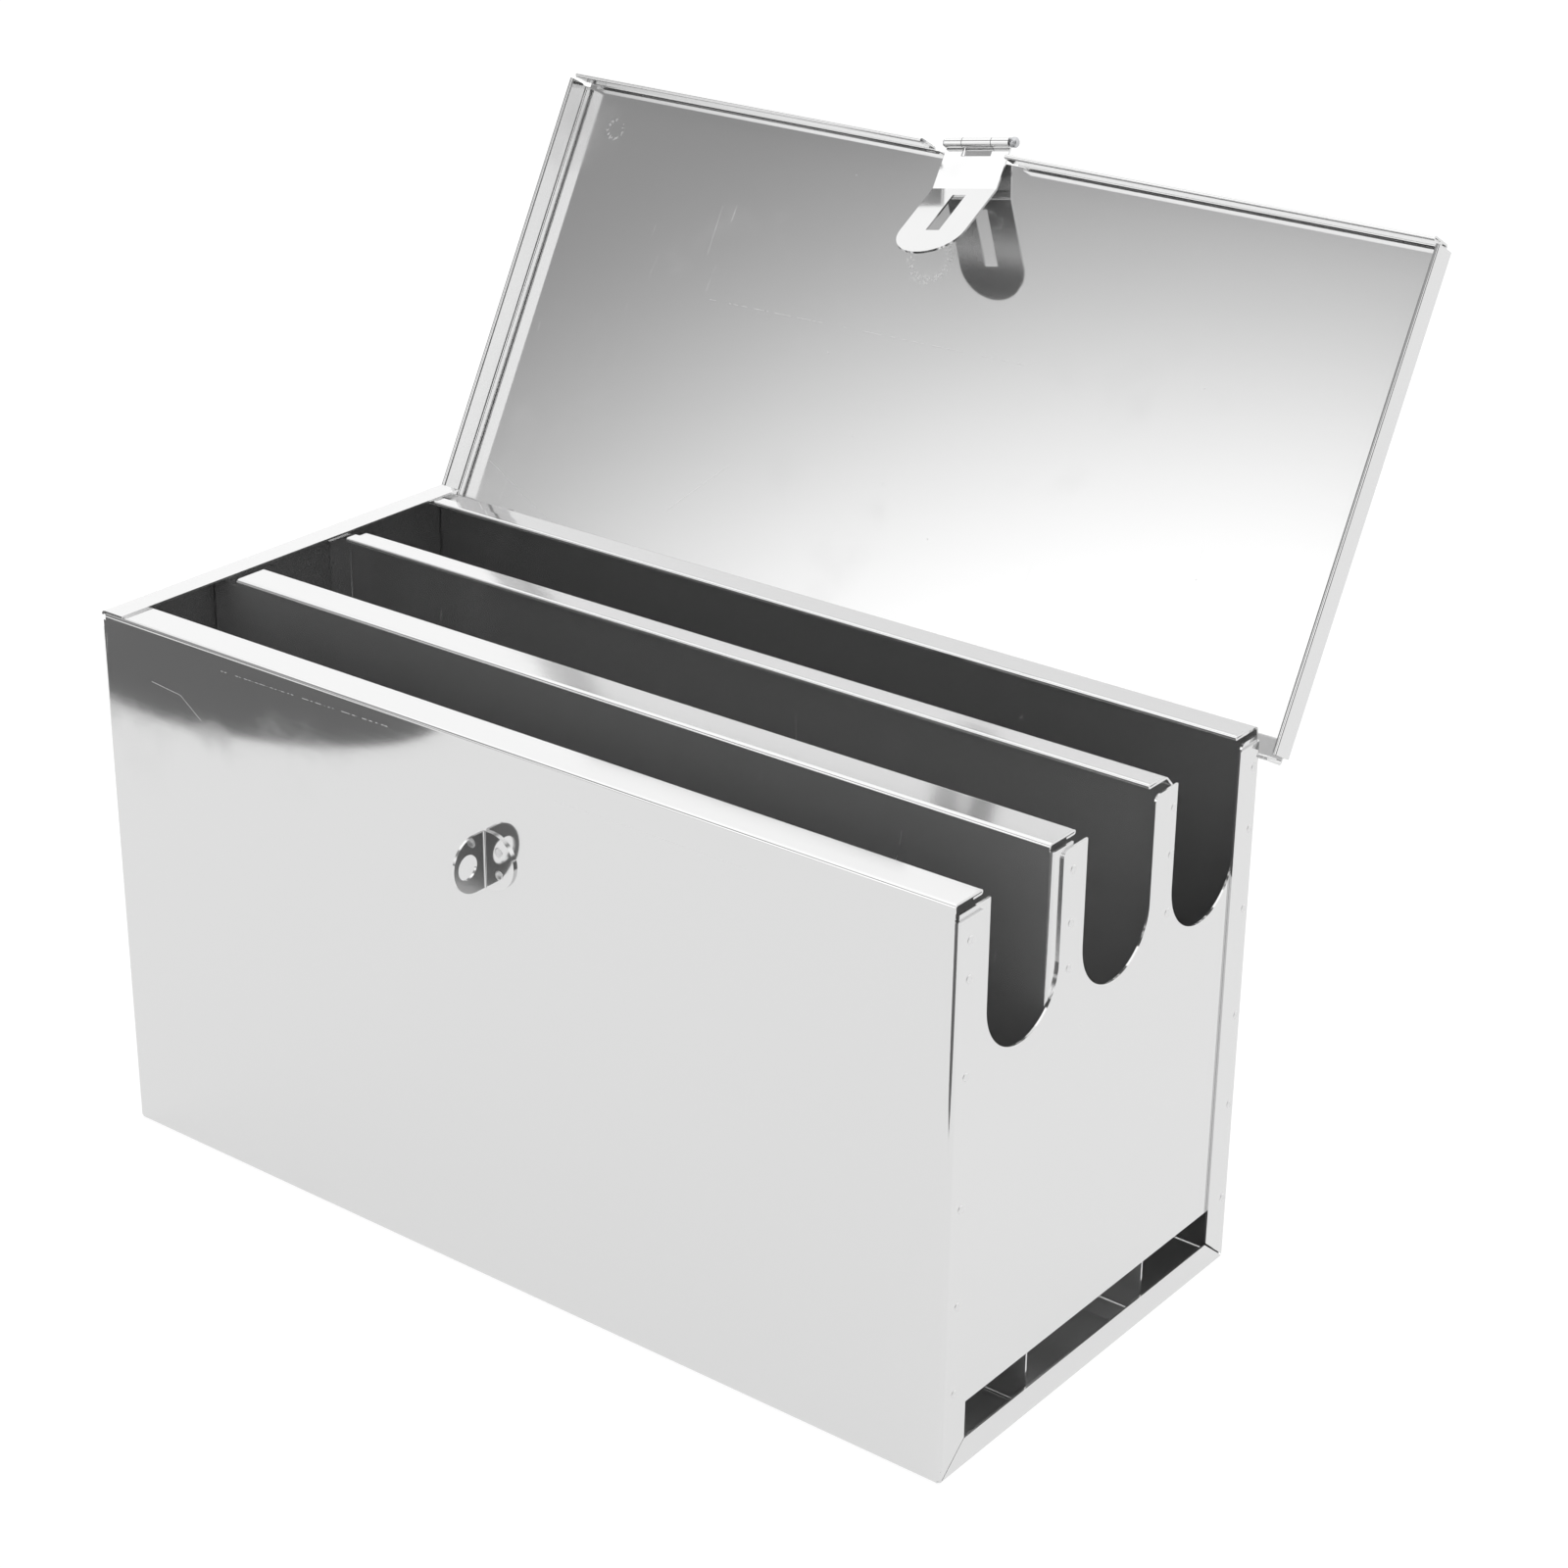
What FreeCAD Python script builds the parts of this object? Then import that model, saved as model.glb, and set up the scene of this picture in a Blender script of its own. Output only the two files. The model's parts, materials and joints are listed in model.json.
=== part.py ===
import FreeCAD
import Part
import math
import os

# Three-compartment lidded dispensing box in folded stainless sheet.
# +X runs along the box to its notched end, +Y to the hinged side, +Z up.
# The origin is the centre of the box's underside.
# The lid and the hasp are drawn shut and then swung to their resting pose, fully open.

V = FreeCAD.Vector
X_AXIS = V(1, 0, 0)
Y_AXIS = V(0, 1, 0)
Z_AXIS = V(0, 0, 1)

# ---------------------------------------------------------------- driving sizes (mm)
# box
box_length = 400.0
box_width = 186.5
box_height = 221.5
sheet = 0.8
bend_inside = 0.8
hem_gap = 0.3
hem_return = 5.0
rim_width = 15.5
end_flange = 14.0
floor_flange = 12.0
mitre_gap = 0.4
rear_mitre_gap = 0.6
rim_relief = 0.3

# notched end
slot_height = 14.2
notch_width = 42.3
notch_pitch = 56.5
first_notch = 40.2
notch_floor = 155.5
post_drop = 4.0
flange_drop = 6.2
post_corner = 3.0

# plain end
top_flange = 12.0

# dividers, by their faces measured from the front of the box
front_divider_face = 56.0
rear_divider_face = 132.5
divider_flange = 12.0
divider_foot = 11.5
divider_rim_start = 15.5
divider_slope = 3.8
panel_play = 0.05

# padlock staple on the front
staple_sheet = 1.0
staple_drop = 44.5
staple_height = 22.0
staple_reach = 17.0
staple_foot = 14.0
staple_hole = 9.6
staple_hole_reach = 10.0
lock_offset = -3.0

# lid
open_angle = 118.75
lid_side_overhang = 5.0
lid_front_overhang = 4.0
lid_rear_overhang = 5.5
lid_skirt = 12.3
lid_hem = 7.0
lid_lift = 0.1
lid_corner_notch = 1.2

# butt hinges
hinge_length = 60.0
hinge_spacing = 250.0
hinge_leaf = 0.9
hinge_leaf_width = 14.0
hinge_pin_radius = 1.0
hinge_bore_play = 0.08
hinge_wall_gap = 0.3
hinge_stop_drop = 0.35
hinge_relief = 1.5
hinge_knuckles = 5
knuckle_gap = 0.2
pin_head_radius = 1.5
pin_head_height = 0.8

# hasp
hasp_skew = 9.5
hasp_forward = 4.3
hasp_drop = 1.7
hasp_width = 29.0
hasp_arm = 20.5
hasp_tongue = 43.0
hasp_bend = 23.0
hasp_rest_swing = 74.0
hasp_sheet = 0.9
hasp_window = 13.5
hasp_window_depth = 5.5
hasp_slot_start = 4.5
hasp_slot_length = 24.0
hasp_slot_width = 6.0
hasp_pin_radius = 1.1
hasp_pin_head = 2.2
hasp_cutout = 40.0

# ---------------------------------------------------------------- worked-out places
half_l = box_length / 2
half_w = box_width / 2
front = -half_w
rear = half_w
bend_outside = bend_inside + sheet
hem_step = sheet + hem_gap
slot_bottom = floor_flange
slot_top = slot_bottom + slot_height
post_top = box_height - post_drop
flange_top = box_height - flange_drop
rim_bottom = box_height - hem_step - sheet

lid_inner = box_height + sheet + lid_lift
lid_outer = lid_inner + sheet
skirt_bottom = lid_outer - lid_skirt
hinge_radius = hinge_pin_radius + hinge_bore_play + hinge_leaf
hinge_y = rear + hinge_wall_gap + hinge_radius
hinge_z = skirt_bottom - hinge_stop_drop
HINGE = V(0, hinge_y, hinge_z)

hasp_radius = hasp_pin_radius + hinge_bore_play + hasp_sheet
hasp_z = lid_inner - hasp_drop
hasp_y = front - lid_front_overhang - hasp_forward
PIVOT = V(lock_offset, hasp_y, hasp_z)


# ---------------------------------------------------------------- drawing helpers
NORMALS = {"YZ": X_AXIS, "XZ": Y_AXIS, "XY": Z_AXIS}


def place(plane, u, v):
    points = {"YZ": V(0, u, v), "XZ": V(u, 0, v), "XY": V(u, v, 0)}
    return points[plane]


def box(x0, x1, y0, y1, z0, z1):
    return Part.makeBox(x1 - x0, y1 - y0, z1 - z0, V(x0, y0, z0))


def rod(start, end, radius):
    along = end.sub(start)
    return Part.makeCylinder(radius, along.Length, start, along)


def prism(plane, outline, start, end):
    """Straight-sided solid over a closed outline, from start to end along the plane's normal."""
    points = [place(plane, u, v) for u, v in outline]
    face = Part.Face(Part.makePolygon(points + [points[0]]))
    face.translate(NORMALS[plane] * start)
    return face.extrude(NORMALS[plane] * (end - start))


def direction(a, b):
    length = math.hypot(b[0] - a[0], b[1] - a[1])
    return (b[0] - a[0]) / length, (b[1] - a[1]) / length


def beside(points, distance):
    """Mitred parallel of an open line of points, to its left when distance is positive."""
    result = []
    last = len(points) - 1
    for i, (u, v) in enumerate(points):
        before = min(i, last - 1) if i == 0 else i - 1
        after = last - 1 if i == last else i
        into = direction(points[before], points[before + 1])
        out = direction(points[after], points[after + 1])
        across = (-into[1] - out[1], into[0] + out[0])
        scale = distance / (-into[1] * across[0] + into[0] * across[1])
        result.append((u + across[0] * scale, v + across[1] * scale))
    return result


def turn_at(points, i):
    """Angle turned, anticlockwise positive, at inner corner i of a line of points."""
    into = direction(points[i], points[i + 1])
    out = direction(points[i + 1], points[i + 2])
    return math.atan2(into[0] * out[1] - into[1] * out[0], into[0] * out[0] + into[1] * out[1])


def rounded(plane, points, radii):
    """Edges along an open line of points, with an arc of the given radius at each inner corner."""
    edges = []
    here = points[0]
    for i, radius in enumerate(radii):
        corner = points[i + 1]
        into = direction(points[i], corner)
        out = direction(corner, points[i + 2])
        turn = turn_at(points, i)
        reach = radius * math.tan(abs(turn) / 2)
        begin = (corner[0] - into[0] * reach, corner[1] - into[1] * reach)
        end = (corner[0] + out[0] * reach, corner[1] + out[1] * reach)
        towards = direction((0, 0), (out[0] - into[0], out[1] - into[1]))
        depth = radius / math.cos(turn / 2) - radius
        middle = (corner[0] + towards[0] * depth, corner[1] + towards[1] * depth)
        edges.append(Part.makeLine(place(plane, *here), place(plane, *begin)))
        edges.append(Part.Arc(place(plane, *begin), place(plane, *middle), place(plane, *end)).toShape())
        here = end
    edges.append(Part.makeLine(place(plane, *here), place(plane, *points[-1])))
    return edges


def folded(plane, points, radii, thickness, start, end):
    """Folded sheet: the line of points is its middle, and radii are its middle bend radii."""
    half = thickness / 2
    edges = []
    sides = {}
    for hand in (1, -1):
        line = beside(points, hand * half)
        bends = [r - hand * math.copysign(half, turn_at(points, i)) for i, r in enumerate(radii)]
        edges += rounded(plane, line, bends)
        sides[hand] = line
    for tip in (0, -1):
        edges.append(Part.makeLine(place(plane, *sides[1][tip]), place(plane, *sides[-1][tip])))
    face = Part.Face(Part.Wire(Part.__sortEdges__(edges)))
    face.translate(NORMALS[plane] * start)
    return face.extrude(NORMALS[plane] * (end - start))


def join(shapes):
    return shapes[0].fuse(shapes[1:]).removeSplitter()


def flipped(shape):
    """The same shape at the other end of the box."""
    return shape.mirror(V(0, 0, 0), X_AXIS)


def turned(shape, centre, axis, degrees):
    result = shape.copy()
    result.rotate(centre, axis, degrees)
    return result


BEND = bend_inside + sheet / 2
HEM = hem_step / 2 - 0.02


def hem(edge, z, side, fold):
    """Start of a rim with a closed hem: side +1 faces +Y, fold +1 laps on top and -1 beneath."""
    middle = edge - side * sheet / 2
    lap = z + fold * hem_step
    return [(middle - side * hem_return, lap), (middle, lap), (middle, z)]


# ---------------------------------------------------------------- box shell
def side_flange(wall, side, gap):
    """The turned-in flange of the front or rear wall at the notched end, mitred at its foot."""
    start = half_l - bend_outside
    path = [
        (start - 0.3, wall + side * sheet / 2),
        (half_l - sheet / 2, wall + side * sheet / 2),
        (half_l - sheet / 2, wall + side * end_flange),
    ]
    strip = folded("XY", path, [BEND], sheet, 0, flange_top)
    slope = floor_flange / end_flange
    reach = end_flange + 1
    foot = [
        (wall - side, -2 - slope),
        (wall + side * reach, -2 - slope),
        (wall + side * reach, slope * reach + gap),
        (wall - side, gap - slope),
    ]
    strip = strip.cut(prism("YZ", foot, start - 1, half_l + 1))
    return strip.cut(box(start - 1, half_l + 1, -half_w - 1, half_w + 1, -1, bend_outside))


def foot_flange():
    """The floor's upturned flange at the notched end, mitred to the side flanges."""
    start = half_l - bend_outside
    path = [
        (start - 0.3, sheet / 2),
        (half_l - sheet / 2, sheet / 2),
        (half_l - sheet / 2, floor_flange),
    ]
    strip = folded("XZ", path, [BEND], sheet, front + bend_outside, rear - bend_outside)
    slope = floor_flange / end_flange
    for wall, side, gap in ((front, 1, 0), (rear, -1, rear_mitre_gap)):
        above = [
            (wall - side, -slope),
            (wall + side * (end_flange + gap), slope * end_flange),
            (wall + side * (end_flange + gap), floor_flange + 1),
            (wall - side, floor_flange + 1),
        ]
        strip = strip.cut(prism("YZ", above, start - 1, half_l + 1))
    return strip


def box_shell():
    """Front wall, floor and rear wall in one folded sheet, with rims and end flanges."""
    front_z = box_height - sheet / 2
    rear_z = box_height - sheet / 2 - hem_step
    path = hem(front + rim_width, front_z, 1, -1)
    path += [(front + sheet / 2, front_z), (front + sheet / 2, sheet / 2)]
    path += [(rear - sheet / 2, sheet / 2), (rear - sheet / 2, rear_z)]
    path += reversed(hem(rear - rim_width, rear_z, -1, 1))
    radii = [HEM, HEM, BEND, BEND, BEND, BEND, HEM, HEM]
    start = half_l - bend_outside
    shell = folded("YZ", path, radii, sheet, -start, start)
    relief = half_l - 2 * sheet - rim_relief - bend_inside
    shell = shell.cut(box(-half_l, -relief, -half_w - 1, half_w + 1, rim_bottom - 1, box_height + 1))
    flanges = [
        side_flange(front, 1, mitre_gap),
        side_flange(rear, -1, rear_mitre_gap),
        foot_flange(),
    ]
    return join([shell] + flanges + [flipped(f) for f in flanges])


# ---------------------------------------------------------------- end panels and dividers
panel_x = half_l - sheet - panel_play
wall_play = bend_outside


def end_panel():
    """Flat panel at the dispensing end: three round-bottomed notches between four posts."""
    low = slot_top
    panel = box(panel_x - sheet, panel_x, front + wall_play, rear - wall_play, low, post_top)
    radius = notch_width / 2
    middles = [front + first_notch + i * notch_pitch for i in range(3)]
    for y in middles:
        panel = panel.cut(box(0, half_l, y - radius, y + radius, notch_floor + radius, post_top + 1))
        centre = V(0, y, notch_floor + radius)
        panel = panel.cut(rod(centre, centre.add(X_AXIS * half_l), radius))
    corners = [y + radius for y in middles] + [front + wall_play]
    along_x = []
    for edge in panel.Edges:
        across = edge.Vertexes[0].Point.sub(edge.Vertexes[-1].Point)
        point = edge.Vertexes[0].Point
        if abs(abs(across.x) - sheet) < 1e-6 and abs(point.z - post_top) < 1e-6:
            if any(abs(point.y - y) < 1e-6 for y in corners[:3]):
                along_x.append(edge)
    return panel.makeFillet(post_corner, along_x)


def plain_end():
    """Panel at the other end, with a flange folded in over the walls' rims."""
    x = -panel_x + sheet / 2
    path = [
        (x, bend_outside),
        (x, box_height + sheet / 2),
        (-half_l + top_flange, box_height + sheet / 2),
    ]
    wide = folded("XZ", path, [BEND], sheet, front, rear)
    below_rims = box(-half_l, 0, front - 1, rear + 1, -1, box_height - bend_inside)
    narrow = box(-half_l, 0, front + wall_play, rear - wall_play, 0, box_height + 5)
    return wide.cut(below_rims.cut(narrow))


def divider(face, side, top_path, z_top):
    """Folded divider: side is the way its rim, foot and end flanges turn."""
    middle = face + side * sheet / 2
    foot_z = sheet * 1.5
    path = top_path + [(middle, foot_z), (middle + side * divider_foot, foot_z)]
    bends = [HEM, HEM] + [BEND] * (len(path) - 4)
    inner_l = panel_x - sheet - panel_play
    start = inner_l - bend_outside
    web = folded("YZ", path, bends, sheet, -start, start)
    over_flange = box(-half_l, -half_l + divider_rim_start, -half_w, half_w, z_top, box_height + 1)
    web = web.cut(over_flange)
    flanges = []
    for hand, low in ((1, slot_top + divider_foot), (-1, bend_outside + sheet)):
        corner = [
            (hand * (start - 0.3), middle),
            (hand * (inner_l - sheet / 2), middle),
            (hand * (inner_l - sheet / 2), middle + side * (divider_flange - sheet / 2)),
        ]
        flanges.append(folded("XY", corner, [BEND], sheet, low, z_top))
    return join([web] + flanges)


def front_divider():
    z = box_height - sheet / 2
    top = hem(front + front_divider_face + rim_width, z, 1, -1)
    top.append((front + front_divider_face + sheet / 2, z))
    return divider(front + front_divider_face, 1, top, rim_bottom - bend_inside)


def rear_divider():
    z = box_height - sheet / 2 - hem_step
    face = front + rear_divider_face
    top = hem(face - rim_width - sheet / 2, z, -1, 1)
    top.append((face - sheet / 2 - divider_slope, z))
    top.append((face - sheet / 2, z - divider_slope))
    return divider(face, -1, top, rim_bottom - divider_slope)


# ---------------------------------------------------------------- staple
def staple():
    """Padlock eye: a round-ended foot welded flat to the wall and a round-ended ear with a hole."""
    middle_z = box_height - staple_drop
    half = staple_height / 2
    bend = bend_inside + staple_sheet / 2
    x = lock_offset
    path = [
        (x + staple_foot, front - staple_sheet / 2),
        (x, front - staple_sheet / 2),
        (x, front - staple_reach),
    ]
    low, high = middle_z - half, middle_z + half
    eye = folded("XY", path, [bend], staple_sheet, low, high)
    foot_end = V(x + staple_foot - half, front, middle_z)
    ear_end = V(x, front - staple_reach + half, middle_z)
    foot_zone = box(foot_end.x, x + staple_foot + 1, front - 2 * staple_sheet, front, low, high)
    ear_zone = box(x - 2, x + 2, front - staple_reach - 1, ear_end.y, low, high)
    foot_disc = rod(foot_end.add(V(0, -3, 0)), foot_end.add(V(0, 3, 0)), half)
    ear_disc = rod(ear_end.add(V(-3, 0, 0)), ear_end.add(V(3, 0, 0)), half)
    eye = eye.cut(foot_zone.cut(foot_disc)).cut(ear_zone.cut(ear_disc))
    hole = V(x, front - staple_hole_reach, middle_z)
    return eye.cut(rod(hole.add(V(-3, 0, 0)), hole.add(V(3, 0, 0)), staple_hole / 2))


# ---------------------------------------------------------------- lid
lid_x = half_l + lid_side_overhang
lid_front = front - lid_front_overhang
lid_rear = rear + lid_rear_overhang


def skirt_profile(edge, side, inward):
    """Middle line of one hemmed skirt with a strip of the lid's top, in a section across it."""
    wall = edge + side * sheet / 2
    hem_line = wall + side * hem_step
    low = skirt_bottom + sheet / 2
    high = lid_outer - sheet / 2
    hemmed = [(hem_line, low + lid_hem), (hem_line, low), (wall, low)]
    return hemmed + [(wall, high), (wall + side * inward, high)]


def lid_shut():
    """Lid pressing, shut: top sheet, four hemmed skirts with open corners, and the hasp's knuckle."""
    radii = [HEM, HEM, BEND]
    inset = bend_outside + lid_corner_notch
    strip = 10
    parts = [box(-lid_x + 5, lid_x - 5, lid_front + 5, lid_rear - 5, lid_inner, lid_outer)]
    for hand in (1, -1):
        path = skirt_profile(-hand * lid_x, hand, strip)
        parts.append(folded("XZ", path, radii, sheet, lid_front + inset, lid_rear - inset))
    for edge, side in ((lid_front, 1), (lid_rear, -1)):
        path = skirt_profile(edge, side, strip)
        parts.append(folded("YZ", path, radii, sheet, -lid_x + inset, lid_x - inset))
    pressing = join(parts)
    x0 = lock_offset - hasp_cutout / 2
    x1 = lock_offset + hasp_cutout / 2
    pressing = pressing.cut(box(x0, x1, lid_front - 1, lid_front + bend_outside, 0, lid_outer + 1))
    pressing = pressing.cut(box(x0, x1, lid_front - 1, lid_front + 2 * hem_step + sheet, 0, lid_inner))
    for middle in (-hinge_spacing / 2, hinge_spacing / 2):
        reach = hinge_length / 2 + hinge_relief
        inner = lid_rear - sheet
        room = box(middle - reach, middle + reach, inner - 3, inner, 0, lid_inner - bend_inside)
        pressing = pressing.cut(room)
    return join([pressing, hasp_tab()]).cut(barrel_bore())


def askew(shape):
    """From the hasp's own frame, with its pin along X at the origin, to its place on the shut lid."""
    result = turned(shape, V(0, 0, 0), Z_AXIS, -hasp_skew)
    result.translate(PIVOT)
    return result


def barrel_bore():
    return askew(rod(V(-hasp_width, 0, 0), V(hasp_width, 0, 0), hasp_pin_radius + hinge_bore_play))


def hasp_tab():
    """Tongue of the lid's top sheet that runs forward and rolls down round the hasp's pin."""
    half = hasp_window / 2 - 0.25
    barrel = rod(V(-half, 0, 0), V(half, 0, 0), hasp_radius)
    reach = hasp_forward + bend_outside + 2
    tab = box(-half, half, 0, reach, hasp_drop, hasp_drop + sheet)
    return askew(barrel.fuse(tab))


# ---------------------------------------------------------------- butt hinges
def knuckle_spans(middle, hand):
    """Start and end of every second knuckle: hand 0 for the box's leaf, 1 for the lid's."""
    pitch = hinge_length / hinge_knuckles
    first = middle - hinge_length / 2
    spans = []
    for i in range(hand, hinge_knuckles, 2):
        start = first + i * pitch + (knuckle_gap / 2 if i else 0)
        end = first + (i + 1) * pitch - (knuckle_gap / 2 if i < hinge_knuckles - 1 else 0)
        spans.append((start, end))
    return spans


def leaf_with_knuckles(middle, hand, plate):
    """A leaf joined to its knuckles, cut clear of the other leaf's knuckles and bored for the pin."""
    x0 = middle - hinge_length / 2
    x1 = middle + hinge_length / 2
    leaf = plate
    reach = hinge_radius + 2 * knuckle_gap
    for a, b in knuckle_spans(middle, 1 - hand):
        start, end = a - knuckle_gap, b + knuckle_gap
        leaf = leaf.cut(box(start, end, rear - 1, rear + 8, hinge_z - reach, hinge_z + reach))
    rolls = []
    for a, b in knuckle_spans(middle, hand):
        rolls.append(rod(V(a, hinge_y, hinge_z), V(b, hinge_y, hinge_z), hinge_radius))
    leaf = join([leaf] + rolls)
    bore = rod(V(x0 - 1, hinge_y, hinge_z), V(x1 + 1, hinge_y, hinge_z), hinge_pin_radius + hinge_bore_play)
    return leaf.cut(bore)


def box_leaf(middle):
    x0 = middle - hinge_length / 2
    x1 = middle + hinge_length / 2
    plate = box(x0, x1, rear, rear + hinge_leaf, hinge_z - hinge_leaf_width, hinge_z)
    return leaf_with_knuckles(middle, 0, plate)


def lid_leaf_shut(middle):
    x0 = middle - hinge_length / 2
    x1 = middle + hinge_length / 2
    back = lid_rear - sheet
    plate = box(x0, x1, back - hinge_leaf, back, hinge_z, lid_inner - bend_inside)
    return leaf_with_knuckles(middle, 1, plate)


def hinge_pin(middle):
    x0 = middle - hinge_length / 2 - 0.1
    x1 = middle + hinge_length / 2 + 0.1
    pin = rod(V(x0, hinge_y, hinge_z), V(x1, hinge_y, hinge_z), hinge_pin_radius)
    for x, away in ((x0, -1), (x1, 1)):
        head = rod(V(x, hinge_y, hinge_z), V(x + away * pin_head_height, hinge_y, hinge_z), pin_head_radius)
        pin = pin.fuse(head)
    return pin.removeSplitter()


# ---------------------------------------------------------------- hasp
def hasp_leaf_hanging():
    """Hasp leaf with its pin along X at the origin: arm straight down, tongue bent outwards."""
    half = hasp_width / 2
    y = hasp_radius - hasp_sheet / 2
    bend = math.radians(hasp_bend)
    tip = (y - math.sin(bend) * hasp_tongue, -hasp_arm - math.cos(bend) * hasp_tongue)
    path = [(y, 0), (y, -hasp_arm), tip]
    leaf = folded("YZ", path, [2.0], hasp_sheet, -half, half)
    window = box(-hasp_window / 2, hasp_window / 2, -5, 5, -hasp_window_depth, 5)
    leaf = leaf.cut(window)
    for hand in (1, -1):
        a, b = sorted((hand * hasp_window / 2, hand * half))
        leaf = leaf.fuse(rod(V(a, 0, 0), V(b, 0, 0), hasp_radius))
    knee = V(0, y, -hasp_arm)
    down = V(0, -math.sin(bend), -math.cos(bend))
    out = V(0, -math.cos(bend), math.sin(bend))

    def laid(shape):
        """From a flat layout (x across, y along the tongue, z through it) onto the tongue."""
        frame = FreeCAD.Matrix(
            1, 0, 0, knee.x, 0, down.y, out.y, knee.y, 0, down.z, out.z, knee.z, 0, 0, 0, 1
        )
        return shape.transformGeometry(frame)

    round_start = hasp_tongue - half
    end_zone = box(-half - 1, half + 1, round_start, hasp_tongue + 2, -2, 2)
    disc = rod(V(0, round_start, -3), V(0, round_start, 3), half)
    leaf = leaf.cut(laid(end_zone.cut(disc)))
    slot_end = hasp_slot_start + hasp_slot_length
    slot = box(-hasp_slot_width / 2, hasp_slot_width / 2, hasp_slot_start, slot_end, -3, 3)
    leaf = leaf.cut(laid(slot))
    bore = rod(V(-half - 1, 0, 0), V(half + 1, 0, 0), hasp_pin_radius + hinge_bore_play)
    return leaf.cut(bore).removeSplitter()


def hasp_pin():
    """Pin with a peened end and a round head, in the hasp's own frame."""
    half = hasp_width / 2 + knuckle_gap / 2
    pin = rod(V(-half, 0, 0), V(half, 0, 0), hasp_pin_radius)
    peen = rod(V(-half - pin_head_height, 0, 0), V(-half, 0, 0), pin_head_radius)
    head = rod(V(half, 0, 0), V(half + 1.6 * hasp_pin_head, 0, 0), hasp_pin_head)
    head = head.makeFillet(0.7 * hasp_pin_head, [e for e in head.Edges if e.Closed])
    return pin.fuse([peen, head]).removeSplitter()


# ---------------------------------------------------------------- assembly
def opened(shape):
    """Swings anything on the lid from shut to its resting place, leaning back."""
    return turned(shape, HINGE, X_AXIS, -open_angle)


def build():
    nodes = {
        "box_shell": box_shell(),
        "notched_end_panel": end_panel(),
        "plain_end_panel": plain_end(),
        "front_divider": front_divider(),
        "rear_divider": rear_divider(),
        "padlock_staple": staple(),
        "lid": opened(lid_shut()),
    }
    for name, hand in (("left", -1), ("right", 1)):
        middle = hand * hinge_spacing / 2
        nodes[name + "_hinge_box_leaf"] = box_leaf(middle)
        nodes[name + "_hinge_lid_leaf"] = opened(lid_leaf_shut(middle))
        nodes[name + "_hinge_pin"] = hinge_pin(middle)
    swung = turned(hasp_leaf_hanging(), V(0, 0, 0), X_AXIS, hasp_rest_swing)
    nodes["hasp_leaf"] = opened(askew(swung))
    nodes["hasp_pin"] = opened(askew(hasp_pin()))
    return nodes


os.makedirs("parts", exist_ok=True)
for node, shape in build().items():
    assert shape.isValid(), node
    shape.exportStep("parts/" + node + ".step")
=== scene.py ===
import json
import math

import bmesh
import bpy
from mathutils import Matrix, Vector


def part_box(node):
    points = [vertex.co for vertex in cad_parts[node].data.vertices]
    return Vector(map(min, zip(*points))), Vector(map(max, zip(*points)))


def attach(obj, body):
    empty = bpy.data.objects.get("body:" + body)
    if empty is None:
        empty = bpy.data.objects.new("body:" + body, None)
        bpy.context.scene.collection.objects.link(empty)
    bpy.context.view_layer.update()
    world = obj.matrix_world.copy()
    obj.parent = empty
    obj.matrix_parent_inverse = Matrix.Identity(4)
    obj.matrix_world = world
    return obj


bl_info = {
    "name": "Three-lane dispensing box",
    "version": (1, 0, 0),
    "blender": (4, 5, 0),
    "location": "3D View > Sidebar > Dispensing Box",
    "description": "Bright stainless finish, weld marks, studio and camera for the dispensing box",
    "category": "Add Mesh",
}

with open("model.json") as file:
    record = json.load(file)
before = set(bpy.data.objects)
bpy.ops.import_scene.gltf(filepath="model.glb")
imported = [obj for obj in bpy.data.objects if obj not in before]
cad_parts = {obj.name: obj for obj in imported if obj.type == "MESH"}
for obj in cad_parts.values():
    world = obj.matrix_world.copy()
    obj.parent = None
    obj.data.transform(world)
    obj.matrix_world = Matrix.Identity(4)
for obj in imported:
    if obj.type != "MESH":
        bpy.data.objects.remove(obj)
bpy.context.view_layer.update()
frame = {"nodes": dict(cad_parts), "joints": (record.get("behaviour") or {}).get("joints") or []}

MM = 0.001
SHELL_LOW, SHELL_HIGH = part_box("box_shell")
PANEL_LOW, PANEL_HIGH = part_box("notched_end_panel")
LID_HINGE = next(j for j in frame["joints"] if j["name"] == "lid_hinge")
OPEN_ANGLE = math.radians(-LID_HINGE["range_deg"][0])
LID_FACE_FROM_HINGE = 11.85 * MM


def on_front(x, z):
    """Point of the front wall's outside, in mm from the box's middle and from its underside."""
    return Vector((x * MM, SHELL_LOW.y, z * MM))


def on_lid(x, up):
    """Point of the open lid's inside, in mm from the box's middle and up the lid from its hinges."""
    along = Vector((0, -math.cos(OPEN_ANGLE), math.sin(OPEN_ANGLE)))
    behind = Vector((0, math.sin(OPEN_ANGLE), math.cos(OPEN_ANGLE)))
    across = Vector((x * MM, 0, 0))
    return Vector(LID_HINGE["pos_m"]) + across + along * up * MM + behind * LID_FACE_FROM_HINGE


# handling scratches, each from one point of the sheet to another, with its number of beads
SHELL_SCRATCHES = (
    (on_front(-135, 214), on_front(-44.5, 215), 60),
    (on_front(-173.5, 199.5), on_front(-158, 198), 0),
    (on_front(-158, 198), on_front(-147.5, 190.5), 0),
    (on_front(30, 209), on_front(115, 208.5), 70),
)
LID_SCRATCHES = (
    (on_lid(-192.5, 25.5), on_lid(-139.5, 2.5), 0),
    (on_lid(-107, 113.5), on_lid(48, 116.5), 50),
    (on_lid(-95.5, 25.5), on_lid(-73, 49), 0),
)
# worn where the hasp swings, and at the lid's far left corner: middle and radius
LID_SCUFFS = ((on_lid(-9, 149), 9 * MM), (on_lid(-182, 174.5), 4 * MM))

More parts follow.
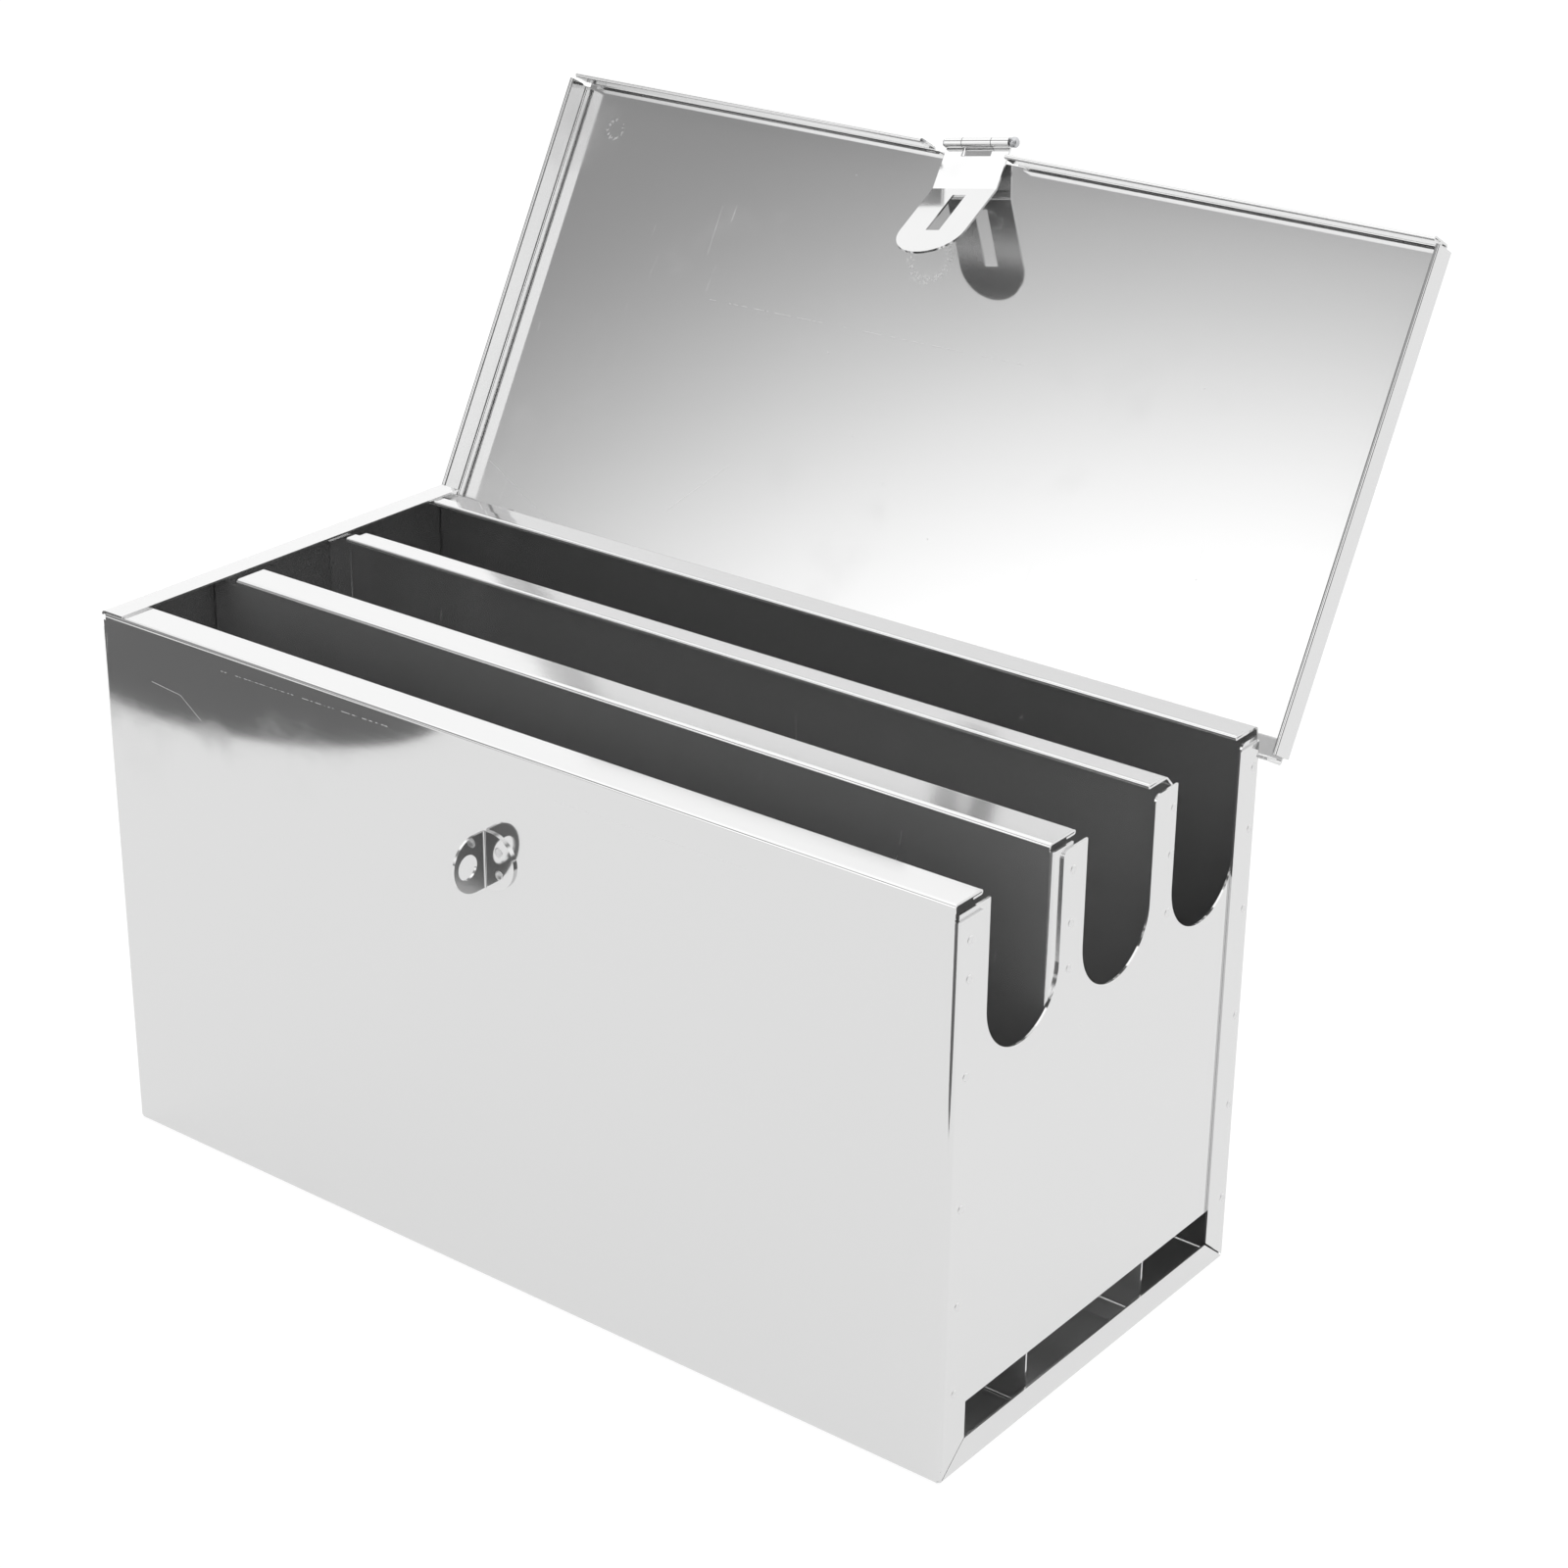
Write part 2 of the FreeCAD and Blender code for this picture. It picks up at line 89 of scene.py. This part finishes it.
# spot welds of the notched end: distance of each row from the front wall, and its heights, in mm
FLANGE_WELDS = ((7, (207, 193, 157, 107, 69, 34)), (182.5, (206, 182, 150, 106, 68.5, 28)))
POST_WELDS = ((67.5, (209, 189, 172)), (130, (209, 191, 168.5)))

# soft lights: degrees round from the front, degrees up, angular radii of the full and the faded part,
# and strength
SOFT_LIGHTS = ((-25, 18, 11, 23, 1.4), (37, 23, 9, 18, 1.5))

# camera: place in metres, degrees round from the front, degrees down and degrees of roll
CAMERA_PLACE = (0.73428, -0.87666, 0.69411)
CAMERA_ROUND = 37.653
CAMERA_DOWN = 24.467
CAMERA_ROLL = 0.596


# ------------------------------------------------------------------ settings
class StainlessSettings(bpy.types.PropertyGroup):
    """Colour and surface of the bright annealed stainless sheet."""

    sheet_colour: bpy.props.StringProperty(
        name="Sheet colour", description="Colour of the sheet, as sRGB hex", default="D8D8D8"
    )
    pin_colour: bpy.props.StringProperty(
        name="Pin colour", description="Colour of the turned pins, as sRGB hex", default="B9BABC"
    )
    film: bpy.props.FloatProperty(
        name="Surface film",
        description="Share of light scattered by dust and the light oil left from forming",
        default=0.1,
        min=0.0,
        max=1.0,
        subtype="FACTOR",
    )
    gloss: bpy.props.FloatProperty(
        name="Sheet roughness",
        description="Roughness of clean bright annealed sheet",
        default=0.05,
        min=0.0,
        max=1.0,
        subtype="FACTOR",
    )
    buckle_length: bpy.props.FloatProperty(
        name="Buckle length",
        description="Distance between the soft waves of a large panel",
        default=0.11,
        unit="LENGTH",
    )
    buckle_depth: bpy.props.FloatProperty(
        name="Buckle depth",
        description="Height of those waves",
        default=0.00016,
        unit="LENGTH",
    )
    scratch_width: bpy.props.FloatProperty(
        name="Scratch width",
        description="Width of a handling scratch, drawn coarse enough to show",
        default=0.00014,
        unit="LENGTH",
    )


class WeldSettings(bpy.types.PropertyGroup):
    """Sizes of the spot weld marks."""

    radius: bpy.props.FloatProperty(
        name="Weld radius", description="Outer radius of a weld mark", default=0.0016, unit="LENGTH"
    )
    height: bpy.props.FloatProperty(
        name="Weld height", description="Height of a mark's rim", default=0.00024, unit="LENGTH"
    )


class StudioSettings(bpy.types.PropertyGroup):
    """Floor, light and camera."""

    floor_colour: bpy.props.StringProperty(
        name="Floor colour", description="Colour of the pale floor, as sRGB hex", default="707070"
    )
    floor_glow: bpy.props.FloatProperty(
        name="Floor glow", description="Light given by the lit floor", default=0.88, min=0.0
    )
    lens: bpy.props.FloatProperty(
        name="Lens", description="Focal length of the camera", default=77.13, unit="CAMERA"
    )


# ------------------------------------------------------------------ helpers
def linear(hex_colour):
    """Linear RGBA of an sRGB hex colour."""
    values = []
    for i in (0, 2, 4):
        c = int(hex_colour[i : i + 2], 16) / 255
        values.append(c / 12.92 if c <= 0.04045 else ((c + 0.055) / 1.055) ** 2.4)
    return (*values, 1.0)


def add(tree, kind, links=None, **settings):
    """Adds a node. Settings name its properties, or its inputs by name or index; links feed its inputs."""
    made = tree.nodes.new(kind)
    for key, value in settings.items():
        if hasattr(made, key):
            setattr(made, key, value)
        else:
            index = int(key[2:]) if key.startswith("in") and key[2:].isdigit() else key.replace("_", " ")
            made.inputs[index].default_value = value
    for key, source in (links or {}).items():
        tree.links.new(source, made.inputs[key])
    return made


def fresh_material(name):
    material = bpy.data.materials.new(name)
    material.use_nodes = True
    material.node_tree.nodes.clear()
    return material, material.node_tree


def math_node(tree, operation, a, b=None, c=None, clamp=False):
    """A Math node whose inputs are sockets or numbers."""
    made = add(tree, "ShaderNodeMath", operation=operation, use_clamp=clamp)
    for i, value in enumerate((a, b, c)):
        if value is None:
            continue
        if isinstance(value, (int, float)):
            made.inputs[i].default_value = value
        else:
            tree.links.new(value, made.inputs[i])
    return made.outputs[0]


def ramp(tree, value, start, end, low, high):
    """Smooth change from low to high while the value goes from start to end."""
    made = add(
        tree,
        "ShaderNodeMapRange",
        {"Value": value},
        interpolation_type="SMOOTHSTEP",
        From_Min=start,
        From_Max=end,
        To_Min=low,
        To_Max=high,
    )
    return made.outputs[0]


def vector_node(tree, operation, a, b=None):
    """A Vector Math node between a socket and a socket or a vector."""
    made = add(tree, "ShaderNodeVectorMath", {0: a}, operation=operation)
    if isinstance(b, Vector):
        made.inputs[1].default_value = b
    elif b is not None:
        tree.links.new(b, made.inputs[1])
    return made.outputs["Value" if operation in ("DOT_PRODUCT", "LENGTH") else "Vector"]


def mesh_object(name, bm, material, body):
    """Turns a finished bmesh into a piece that rides on a body."""
    mesh = bpy.data.meshes.new(name)
    bmesh.ops.recalc_face_normals(bm, faces=bm.faces)
    bm.to_mesh(mesh)
    bm.free()
    for polygon in mesh.polygons:
        polygon.use_smooth = True
    mesh.materials.append(material)
    piece = bpy.data.objects.new(name, mesh)
    bpy.context.scene.collection.objects.link(piece)
    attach(piece, body)
    return piece


# ------------------------------------------------------------------ stainless sheet
def scratch_field(tree, coords, turn, stretch, cell, keep):
    """Thin broken straight scratches: the narrow zero lines of a stretched noise, kept only in places."""
    turned = add(
        tree,
        "ShaderNodeMapping",
        {"Vector": coords},
        Rotation=turn,
        Scale=(1 / cell, 1 / (cell * stretch), 1 / (cell * stretch)),
    )
    lines = add(tree, "ShaderNodeTexNoise", {"Vector": turned.outputs[0]}, Scale=1.0, Detail=0.0)
    away = math_node(tree, "ABSOLUTE", math_node(tree, "SUBTRACT", lines.outputs[0], 0.5))
    thin = math_node(tree, "SUBTRACT", 1.0, math_node(tree, "DIVIDE", away, 0.004), clamp=True)
    where = add(tree, "ShaderNodeTexNoise", {"Vector": coords}, Scale=1 / (cell * 1.7), Detail=2.0)
    there = math_node(tree, "GREATER_THAN", where.outputs[0], keep)
    return math_node(tree, "MULTIPLY", thin, there)


def drawn_scratch(tree, coords, start, end, beads):
    """One straight scratch between two points of the sheet, in short beads when beads is above 0."""
    along = end - start
    from_start = vector_node(tree, "SUBTRACT", coords, start)
    run = vector_node(tree, "DOT_PRODUCT", from_start, along / along.length_squared)
    share = math_node(tree, "MULTIPLY", run, 1.0, clamp=True)
    reached = add(tree, "ShaderNodeVectorMath", {"Scale": share}, operation="SCALE", in0=along)
    off = vector_node(tree, "SUBTRACT", from_start, reached.outputs[0])
    away = vector_node(tree, "LENGTH", off)
    width = bpy.context.scene.stainless.scratch_width
    mark = math_node(tree, "SUBTRACT", 1.0, math_node(tree, "DIVIDE", away, width), clamp=True)
    if beads:
        bead = add(tree, "ShaderNodeTexNoise", {"Vector": coords}, Scale=beads / along.length, Detail=1.0)
        mark = math_node(tree, "MULTIPLY", mark, math_node(tree, "GREATER_THAN", bead.outputs[0], 0.5))
    return mark


def scuff_ring(tree, coords, centre, radius):
    """Ring of fine scuffs worn into the sheet."""
    away = vector_node(tree, "LENGTH", vector_node(tree, "SUBTRACT", coords, centre))
    apart = math_node(tree, "ABSOLUTE", math_node(tree, "SUBTRACT", away, radius))
    band = math_node(tree, "SUBTRACT", 1.0, math_node(tree, "DIVIDE", apart, radius * 0.3), clamp=True)
    fleck = add(tree, "ShaderNodeTexNoise", {"Vector": coords}, Scale=900.0, Detail=2.0)
    return math_node(tree, "MULTIPLY", band, math_node(tree, "GREATER_THAN", fleck.outputs[0], 0.56))


def bright_stainless(
    name, buckle=1.0, haze=0.0, rub=0.0, scratches=0.7, dust=1.0, lines=(), rings=()
):
    """Bright annealed stainless: near mirror, with soft buckles, rolling grain, smudges and scratches."""
    look = bpy.context.scene.stainless
    material, tree = fresh_material(name)
    place = add(tree, "ShaderNodeTexCoord").outputs["Object"]

    # soft buckles of thin sheet bend the reflections of a large panel
    waves = add(tree, "ShaderNodeTexNoise", {"Vector": place}, Scale=1 / look.buckle_length, Detail=1.0)
    # rolling grain runs along the sheet; the real grain is finer than this
    stretched = add(tree, "ShaderNodeMapping", {"Vector": place}, Scale=(8.0, 900.0, 900.0))
    grain = add(tree, "ShaderNodeTexNoise", {"Vector": stretched.outputs[0]}, Scale=1.0, Detail=3.0)
    smudge = add(tree, "ShaderNodeTexNoise", {"Vector": place}, Scale=28.0, Detail=4.0)
    smudge_mask = ramp(tree, smudge.outputs[0], 0.55, 0.75, 0.0, 1.0)
    first = scratch_field(tree, place, (0.3, 0.5, 0.4), 14.0, 0.012, scratches)
    second = scratch_field(tree, place, (1.1, 0.2, 1.3), 18.0, 0.016, scratches)
    marks = math_node(tree, "MULTIPLY", math_node(tree, "MAXIMUM", first, second), 0.5)
    for start, end, beads in lines:
        marks = math_node(tree, "MAXIMUM", marks, drawn_scratch(tree, place, start, end, beads))
    for centre, radius in rings:
        marks = math_node(tree, "MAXIMUM", marks, scuff_ring(tree, place, centre, radius))
    cells = add(tree, "ShaderNodeTexVoronoi", {"Vector": place}, Scale=55.0)
    speck = math_node(tree, "LESS_THAN", cells.outputs["Distance"], 0.014)
    marks = math_node(tree, "MAXIMUM", marks, speck)

    rough = math_node(tree, "MULTIPLY_ADD", smudge_mask, 0.05 + rub, look.gloss + haze)
    rough = math_node(tree, "MULTIPLY_ADD", grain.outputs[0], 0.03, rough)
    rough = math_node(tree, "MULTIPLY_ADD", marks, 0.35, rough, clamp=True)

    height = math_node(tree, "MULTIPLY", waves.outputs[0], look.buckle_depth * buckle)
    height = math_node(tree, "MULTIPLY_ADD", grain.outputs[0], 0.0000006, height)
    height = math_node(tree, "MULTIPLY_ADD", marks, -0.000004, height)
    bump = add(tree, "ShaderNodeBump", {"Height": height}, Strength=1.0, Distance=1.0)

    surface = add(
        tree,
        "ShaderNodeBsdfPrincipled",
        {"Roughness": rough, "Normal": bump.outputs[0]},
        Base_Color=linear(look.sheet_colour),
        Metallic=1.0 - look.film * dust,
    )
    add(tree, "ShaderNodeOutputMaterial", {"Surface": surface.outputs[0]})
    return material


def turned_steel(name):
    """Turned steel pin: satin, with fine rings of tool marks along its length."""
    material, tree = fresh_material(name)
    place = add(tree, "ShaderNodeTexCoord").outputs["Object"]
    stretched = add(tree, "ShaderNodeMapping", {"Vector": place}, Scale=(2600.0, 60.0, 60.0))
    rings = add(tree, "ShaderNodeTexNoise", {"Vector": stretched.outputs[0]}, Scale=1.0, Detail=2.0)
    rough = math_node(tree, "MULTIPLY_ADD", rings.outputs[0], 0.2, 0.16)
    bump = add(tree, "ShaderNodeBump", {"Height": rings.outputs[0]}, Strength=0.4, Distance=0.00002)
    surface = add(
        tree,
        "ShaderNodeBsdfPrincipled",
        {"Roughness": rough, "Normal": bump.outputs[0]},
        Base_Color=linear(bpy.context.scene.stainless.pin_colour),
        Metallic=1.0,
    )
    add(tree, "ShaderNodeOutputMaterial", {"Surface": surface.outputs[0]})
    return material


def dress(node, material):
    """Gives a carried CAD node its material."""
    target = frame["nodes"][node]
    target.data.materials.clear()
    target.data.materials.append(material)
    for polygon in target.data.polygons:
        polygon.material_index = 0


class DressBox(bpy.types.Operator):
    """Bright annealed stainless for the folded box, its end panels and its dividers"""

    bl_idname = "dispensing_box.dress_box"
    bl_label = "Box sheet"

    def execute(self, context):
        dress("box_shell", bright_stainless("BrightStainless_shell", buckle=1.0, lines=SHELL_SCRATCHES))
        dress("notched_end_panel", bright_stainless("BrightStainless_end", buckle=0.5))
        dress("plain_end_panel", bright_stainless("BrightStainless_plain_end", buckle=0.7))
        dividers = bright_stainless("BrightStainless_dividers", buckle=1.4, haze=0.05, dust=1.7)
        dress("front_divider", dividers)
        dress("rear_divider", dividers)
        return {"FINISHED"}


class DressLid(bpy.types.Operator):
    """Bright annealed stainless for the lid, with more handling marks inside"""

    bl_idname = "dispensing_box.dress_lid"
    bl_label = "Lid sheet"

    def execute(self, context):
        lid = bright_stainless(
            "BrightStainless_lid",
            buckle=0.35,
            rub=0.03,
            scratches=0.66,
            lines=LID_SCRATCHES,
            rings=LID_SCUFFS,
        )
        dress("lid", lid)
        return {"FINISHED"}


class DressHardware(bpy.types.Operator):
    """Finish for the staple, hasp and hinges"""

    bl_idname = "dispensing_box.dress_hardware"
    bl_label = "Hardware"

    def execute(self, context):
        hardware = bright_stainless("BrightStainless_hardware", buckle=0.0, haze=0.03, rub=0.05, dust=0.4)
        pins = turned_steel("TurnedSteel_pins")
        for node in frame["nodes"]:
            if node.endswith("_pin"):
                dress(node, pins)
            elif "hinge" in node or node in ("padlock_staple", "hasp_leaf"):
                dress(node, hardware)
        return {"FINISHED"}


# ------------------------------------------------------------------ weld marks
def weld_mark(bm, place, radius, height):
    """A shallow crater with a soft raised rim, its face along the placement's +Z."""
    profile = [(0.0, 0.35), (0.35, 0.3), (0.62, 0.75), (0.78, 1.0), (0.92, 0.6), (1.0, -0.2)]
    before = set(bm.verts)
    points = [bm.verts.new((r * radius, 0, h * height)) for r, h in profile]
    edges = [bm.edges.new(pair) for pair in zip(points, points[1:])]
    bmesh.ops.spin(
        bm,
        geom=points + edges,
        cent=(0, 0, 0),
        axis=(0, 0, 1),
        angle=math.tau,
        steps=20,
        use_merge=True,
    )
    made = [v for v in bm.verts if v not in before]
    bmesh.ops.remove_doubles(bm, verts=made, dist=1e-7)
    for v in bm.verts:
        if v not in before:
            v.co = place @ v.co


def facing_right(y, z):
    """Placement on the outside of the notched end's flanges."""
    return Matrix.Translation((SHELL_HIGH.x, y, z)) @ Matrix.Rotation(math.pi / 2, 4, "Y")


class WeldMarks(bpy.types.Operator):
    """Spot weld marks on the notched end, its posts and the staple's foot"""

    bl_idname = "dispensing_box.weld_marks"
    bl_label = "Spot welds"

    def execute(self, context):
        size = context.scene.welds
        bm = bmesh.new()
        panel = Matrix.Translation((PANEL_HIGH.x - SHELL_HIGH.x, 0, 0))
        for depth, rows in ((Matrix.Identity(4), FLANGE_WELDS), (panel, POST_WELDS)):
            for y, heights in rows:
                for z in heights:
                    place = depth @ facing_right(SHELL_LOW.y + y * MM, z * MM)
                    weld_mark(bm, place, size.radius, size.height)
        foot_low, foot_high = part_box("padlock_staple")
        middle = (foot_low.z + foot_high.z) / 2
        for dz in (-4.5, 4.5):
            turn = Matrix.Rotation(math.pi / 2, 4, "X")
            place = Matrix.Translation((foot_high.x - 7 * MM, SHELL_LOW.y - 1 * MM, middle + dz * MM))
            weld_mark(bm, place @ turn, size.radius * 1.2, size.height)
        material = bright_stainless("BrightStainless_welds", buckle=0.0, haze=0.22)
        mesh_object("spot_welds", bm, material, "box")
        return {"FINISHED"}


# ------------------------------------------------------------------ studio
class Studio(bpy.types.Operator):
    """Pale lit floor, soft studio surroundings and camera"""

    bl_idname = "dispensing_box.studio"
    bl_label = "Studio"

    def execute(self, context):
        studio = context.scene.studio
        self.floor(studio)
        self.flag()
        self.surroundings(context.scene)
        self.camera(context.scene, studio)
        context.scene.view_settings.view_transform = "Standard"
        return {"FINISHED"}

    def sheet_on_floor(self, name, corners, height, material):
        """A flat sheet with the given corners, laid at a height."""
        bm = bmesh.new()
        bm.faces.new([bm.verts.new((x, y, height)) for x, y in corners])
        mesh = bpy.data.meshes.new(name)
        bm.to_mesh(mesh)
        bm.free()
        mesh.materials.append(material)
        made = bpy.data.objects.new(name, mesh)
        bpy.context.scene.collection.objects.link(made)
        return made

    def floor(self, studio):
        """White acrylic light table: an even glow under a soft shadow."""
        material, tree = fresh_material("LitFloor")
        matt = add(tree, "ShaderNodeBsdfDiffuse", Color=linear(studio.floor_colour))
        glow = add(tree, "ShaderNodeEmission", Color=(1, 1, 1, 1), Strength=studio.floor_glow)
        both = add(tree, "ShaderNodeAddShader", {0: matt.outputs[0], 1: glow.outputs[0]})
        add(tree, "ShaderNodeOutputMaterial", {"Surface": both.outputs[0]})
        side = 30.0
        corners = [(-side, -side), (side, -side), (side, side), (-side, side)]
        self.sheet_on_floor("floor", corners, 0.0, material)

    def flag(self):
        """An oval card at the left and a square one at the right, seen only in reflections."""
        material, tree = fresh_material("DarkCard")
        dark = add(tree, "ShaderNodeEmission", Color=linear("585858"), Strength=1.0)
        add(tree, "ShaderNodeOutputMaterial", {"Surface": dark.outputs[0]})
        steps = 64
        left = []
        for i in range(steps):
            turn = i / steps * math.tau
            left.append((-0.515 + 0.14 * math.cos(turn), -0.45 + 0.075 * math.sin(turn)))
        right = [(0.06, -0.33), (1.5, -0.33), (1.5, -1.5), (0.06, -1.5)]
        for name, corners in (("left_card", left), ("right_card", right)):
            card = self.sheet_on_floor(name, corners, 0.001, material)
            card.visible_camera = False
            card.visible_diffuse = False
            card.visible_shadow = False

    def softbox(self, tree, ray, azimuth, elevation, full, gone, strength):
        """A round soft light, by its direction from the front and its angular radii, in degrees."""
        turn, rise = math.radians(azimuth), math.radians(elevation)
        towards = Vector(
            (math.sin(turn) * math.cos(rise), -math.cos(turn) * math.cos(rise), math.sin(rise))
        )
        away = math_node(tree, "ARCCOSINE", vector_node(tree, "DOT_PRODUCT", ray, towards))
        return ramp(tree, away, math.radians(full), math.radians(gone), strength, 0.0)

    def surroundings(self, scene):
        """Bright backdrop and ceiling, a dim room in front and two soft lights at the front."""
        world = bpy.data.worlds.new("SoftStudio")
        scene.world = world
        world.use_nodes = True
        tree = world.node_tree
        tree.nodes.clear()
        ray = add(tree, "ShaderNodeTexCoord").outputs["Generated"]
        axes = add(tree, "ShaderNodeSeparateXYZ", {"Vector": ray})
        backdrop = ramp(tree, axes.outputs["Y"], -0.15, 0.35, 0.0, 1.3)
        room = ramp(tree, axes.outputs["Z"], 0.12, 0.4, 0.12, 0.34)
        ceiling = ramp(tree, axes.outputs["Z"], 0.62, 0.74, 0.0, 1.5)
        total = math_node(tree, "MAXIMUM", math_node(tree, "MAXIMUM", backdrop, room), ceiling)
        for soft_light in SOFT_LIGHTS:
            total = math_node(tree, "ADD", total, self.softbox(tree, ray, *soft_light))
        light = add(tree, "ShaderNodeBackground", {"Strength": total}, Color=(1, 1, 1, 1))
        add(tree, "ShaderNodeOutputWorld", {"Surface": light.outputs[0]})

    def camera(self, scene, studio):
        camera = bpy.data.cameras.new("camera")
        camera.lens = studio.lens
        camera.sensor_width = 36.0
        camera.clip_start = 0.05
        camera.clip_end = 200.0
        holder = bpy.data.objects.new("camera", camera)
        scene.collection.objects.link(holder)
        turn = Matrix.Rotation(math.radians(CAMERA_ROUND), 4, "Z")
        tilt = Matrix.Rotation(math.radians(90 - CAMERA_DOWN), 4, "X")
        roll = Matrix.Rotation(math.radians(CAMERA_ROLL), 4, "Z")
        holder.matrix_world = Matrix.Translation(CAMERA_PLACE) @ turn @ tilt @ roll
        scene.camera = holder


class Panel(bpy.types.Panel):
    """Lists the steps that dress the dispensing box"""

    bl_idname = "VIEW3D_PT_dispensing_box"
    bl_label = "Dispensing Box"
    bl_space_type = "VIEW_3D"
    bl_region_type = "UI"
    bl_category = "Dispensing Box"

    def draw(self, context):
        for group in (context.scene.stainless, context.scene.welds, context.scene.studio):
            column = self.layout.column()
            for name in group.__annotations__:
                column.prop(group, name)
        for operator in OPERATORS:
            self.layout.operator(operator.bl_idname)


SETTINGS = {"stainless": StainlessSettings, "welds": WeldSettings, "studio": StudioSettings}
OPERATORS = (DressBox, DressLid, DressHardware, WeldMarks, Studio)


def register():
    for group in SETTINGS.values():
        bpy.utils.register_class(group)
    for name, group in SETTINGS.items():
        setattr(bpy.types.Scene, name, bpy.props.PointerProperty(type=group))
    for operator in OPERATORS:
        bpy.utils.register_class(operator)
    bpy.utils.register_class(Panel)


def unregister():
    bpy.utils.unregister_class(Panel)
    for operator in reversed(OPERATORS):
        bpy.utils.unregister_class(operator)
    for name in SETTINGS:
        delattr(bpy.types.Scene, name)
    for group in reversed(SETTINGS.values()):
        bpy.utils.unregister_class(group)


def main():
    register()
    bpy.ops.dispensing_box.dress_box()
    bpy.ops.dispensing_box.dress_lid()
    bpy.ops.dispensing_box.dress_hardware()
    bpy.ops.dispensing_box.weld_marks()
    bpy.ops.dispensing_box.studio()


if __name__ == "__main__":
    main()
